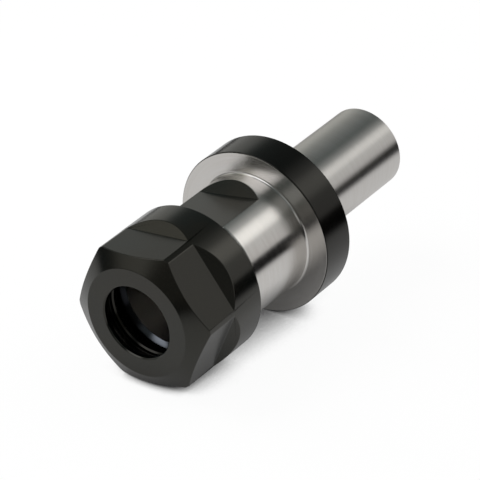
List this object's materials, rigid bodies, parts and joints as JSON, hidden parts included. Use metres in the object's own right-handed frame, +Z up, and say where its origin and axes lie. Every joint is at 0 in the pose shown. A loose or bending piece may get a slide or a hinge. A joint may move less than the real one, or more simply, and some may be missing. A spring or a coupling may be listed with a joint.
{
  "type": "collet chuck holder",
  "caption": "Straight-shank collet chuck holder: ground steel body with a black flange, wrench flats, a tapered collet socket and a hexagonal clamping nut.",
  "frame": {"origin": "centre of the flange's rear face, which is the face that seats on the machine, on the chuck axis", "axes": "+Y runs along the chuck axis from the flange towards the end of the shank, and the clamping nut is towards -Y. +Z is up, square to the two wrench flats on the barrel, with the holder lying on its side. +X is to the right of someone who looks along +Y."},
  "size_m": [0.0381, 0.0855, 0.038],
  "materials": {
    "ground_steel": "fine ground, with a black flange rim and black wrench flats",
    "black_oxide": "satin black oxide"
  },
  "bodies": {
    "chuck": {"chuck_body": "ground_steel"},
    "nut": {"clamping_nut": "black_oxide"}
  },
  "joints": [
    {"name": "nut_travel", "type": "slide", "parent": "chuck", "child": "nut", "axis": [0, -1, 0], "range_m": [-0.0015, 0.0105]}
  ]
}
